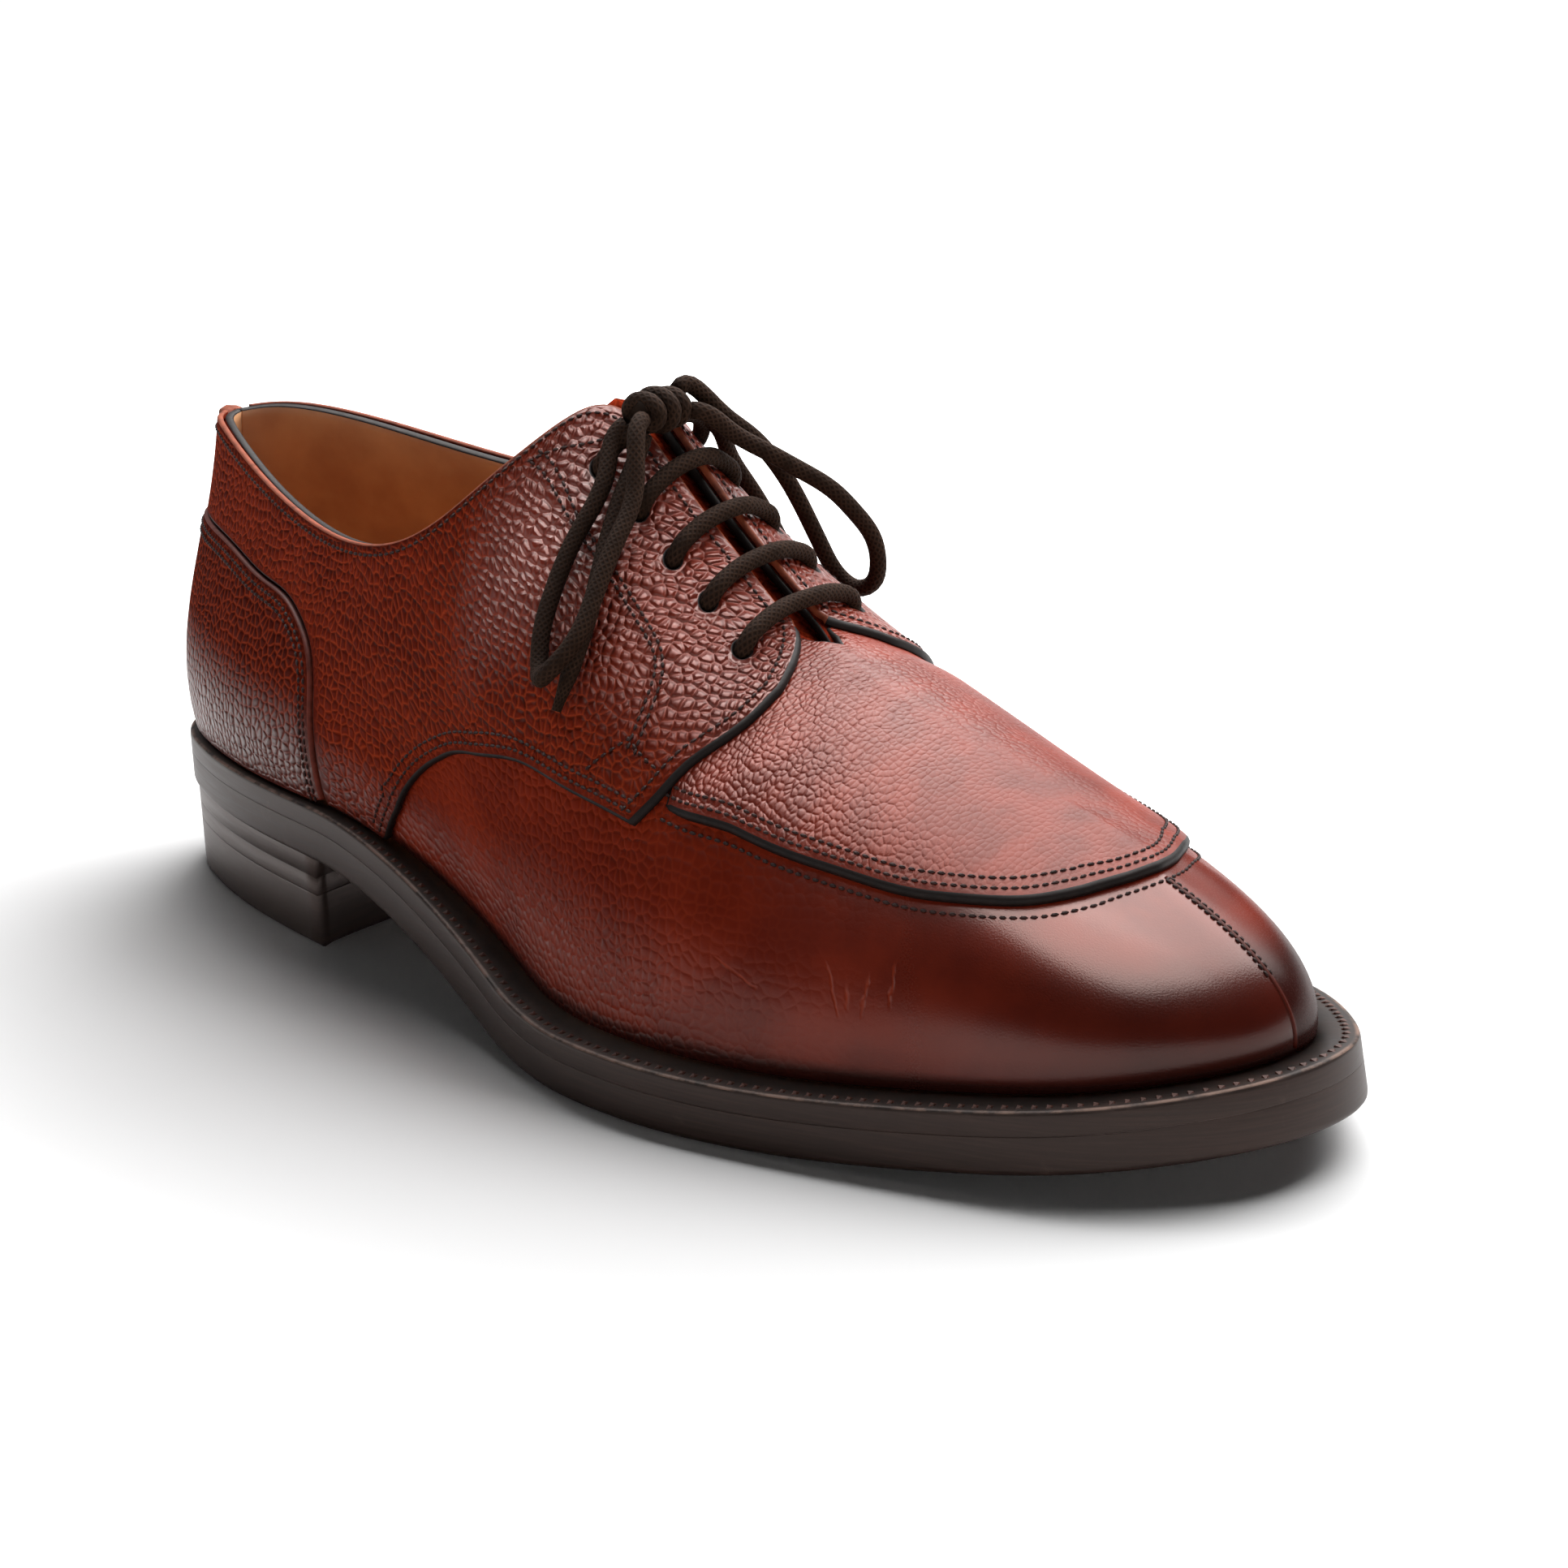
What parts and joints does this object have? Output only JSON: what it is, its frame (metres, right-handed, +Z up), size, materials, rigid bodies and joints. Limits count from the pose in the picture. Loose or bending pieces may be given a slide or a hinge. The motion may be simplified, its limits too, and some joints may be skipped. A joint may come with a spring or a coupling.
{
  "type": "derby shoe",
  "caption": "Right split-toe derby shoe: hollow leather upper with laced open facings and an apron front on a welted sole with a stacked heel.",
  "frame": {"origin": "under the middle of the shoe's box, on the floor", "axes": "+X from heel to toe, +Y to the medial side of this right shoe, +Z up"},
  "size_m": [0.3048, 0.1092, 0.1189],
  "materials": {
    "leather": "pebbled, polished",
    "lining": "smooth, matt",
    "welt": "waxed",
    "sole": "waxed edge",
    "heel": "satin",
    "edge": "painted edge",
    "lace": "waxed cotton"
  },
  "bodies": {
    "root": {"outsole": "sole", "welt": "welt", "insole": "lining", "heel_top_piece": "heel", "heel_stack": "sole", "upper": "leather", "tongue": "leather", "quarter_lateral": "leather", "quarter_medial": "leather", "counter": "leather", "apron": "leather", "back_strip": "edge", "toe_seam": "leather", "lace_bar_1": "lace", "lace_bar_2": "lace", "lace_bar_3": "lace", "lace_bar_4": "lace", "lace_knot": "lace", "lace_loop_lateral": "lace", "lace_end_lateral": "lace", "lace_loop_medial": "lace", "lace_end_medial": "lace"}
  },
  "joints": []
}
